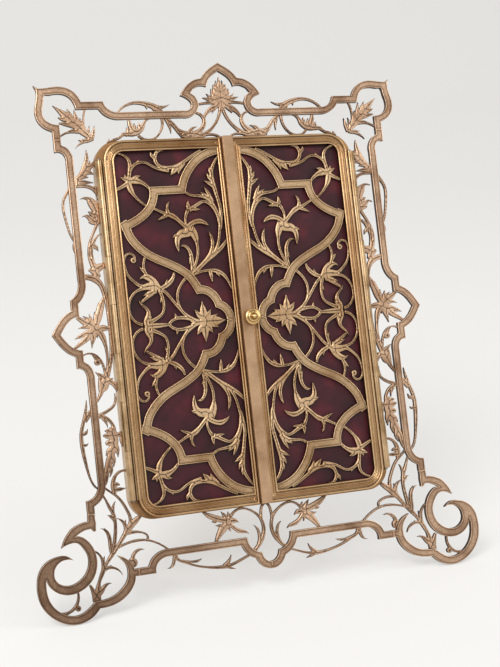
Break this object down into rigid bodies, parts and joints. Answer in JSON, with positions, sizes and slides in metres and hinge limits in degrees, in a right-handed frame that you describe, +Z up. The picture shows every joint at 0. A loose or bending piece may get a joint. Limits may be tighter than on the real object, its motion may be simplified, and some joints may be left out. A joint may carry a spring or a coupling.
{
  "type": "photo album stand",
  "caption": "Brass stand for a card photograph: a glazed case behind pierced folding doors, in a strapwork border on scroll feet, leaning on a hinged strut.",
  "frame": {"origin": "centre of the bounding box's bottom face, on the ground the stand rests on", "axes": "+Z up, -Y the way the doors face, +X to the right as seen from the front"},
  "size_m": [0.242, 0.1228, 0.2643],
  "materials": {
    "border_brass": "antique brass, cast, stippled and engraved, worn bright on its edges",
    "case_brass": "rolled brass sheet, toned",
    "door_brass": "drawn brass moulding, satin",
    "fret_brass": "cast and chased brass, satin",
    "sheet_brass": "plain rolled brass sheet",
    "hinge_brass": "polished by handling",
    "strip_brass": "drawn brass bar, plain satin",
    "knob_brass": "turned and polished",
    "fitting_brass": "stamped brass, satin",
    "strut_brass": "rolled brass, brushed along its length",
    "steel_wire": "plain drawn wire",
    "lining_silk": "plum silk over card, soft sheen",
    "glass": "clear, thin",
    "mat_board": "matt card",
    "picture_paper": "albumen print on card, plain landscape study"
  },
  "bodies": {
    "stand": {"case_rim": "case_brass", "border_crest": "border_brass", "border_left_side": "border_brass", "border_right_side": "border_brass", "border_base": "border_brass", "left_foot_scroll": "border_brass", "right_foot_scroll": "border_brass", "picture_glass": "glass", "picture_mat": "mat_board", "picture_card": "picture_paper", "backing_board": "mat_board", "back_plate": "sheet_brass", "button_rivets": "fitting_brass", "left_case_leaf": "hinge_brass", "right_case_leaf": "hinge_brass", "left_hinge_pin": "steel_wire", "right_hinge_pin": "steel_wire", "strut_bracket": "strut_brass", "bracket_screws": "fitting_brass", "strut_pin": "steel_wire"},
    "left_door": {"left_door_frame": "door_brass", "left_door_fret": "fret_brass", "left_door_lining": "lining_silk", "left_door_sheet": "sheet_brass", "left_door_leaf": "hinge_brass"},
    "right_door": {"right_door_frame": "door_brass", "right_door_fret": "fret_brass", "right_door_lining": "lining_silk", "right_door_sheet": "sheet_brass", "right_door_leaf": "hinge_brass", "meeting_strip": "strip_brass"},
    "knob": {"knob": "knob_brass", "latch_tongue": "knob_brass"},
    "left_button": {"left_turn_button": "fitting_brass"},
    "right_button": {"right_turn_button": "fitting_brass"},
    "strut": {"strut_leg": "strut_brass"}
  },
  "joints": [
    {"name": "left_door_hinge", "type": "hinge", "parent": "stand", "child": "left_door", "pos_m": [-0.0693, -0.01448, 0.13549], "axis": [0, -0.3363, -0.9418], "range_deg": [0, 120]},
    {"name": "right_door_hinge", "type": "hinge", "parent": "stand", "child": "right_door", "pos_m": [0.0693, -0.01448, 0.13549], "axis": [0, 0.3363, 0.9418], "range_deg": [0, 120]},
    {"name": "knob_turn", "type": "hinge", "parent": "right_door", "child": "knob", "pos_m": [0.0014, -0.01787, 0.1367], "axis": [0, 0.9418, -0.3363], "range_deg": [0, 90]},
    {"name": "left_button_turn", "type": "hinge", "parent": "stand", "child": "left_button", "pos_m": [-0.061, -0.00709, 0.13285], "axis": [0, -0.9418, 0.3363], "range_deg": [0, 90]},
    {"name": "right_button_turn", "type": "hinge", "parent": "stand", "child": "right_button", "pos_m": [0.061, -0.00709, 0.13285], "axis": [0, 0.9418, -0.3363], "range_deg": [0, 90]},
    {"name": "strut_hinge", "type": "hinge", "parent": "stand", "child": "strut", "pos_m": [0, 0.00401, 0.15576], "axis": [1, 0, 0], "range_deg": [-39.6, 0]}
  ]
}
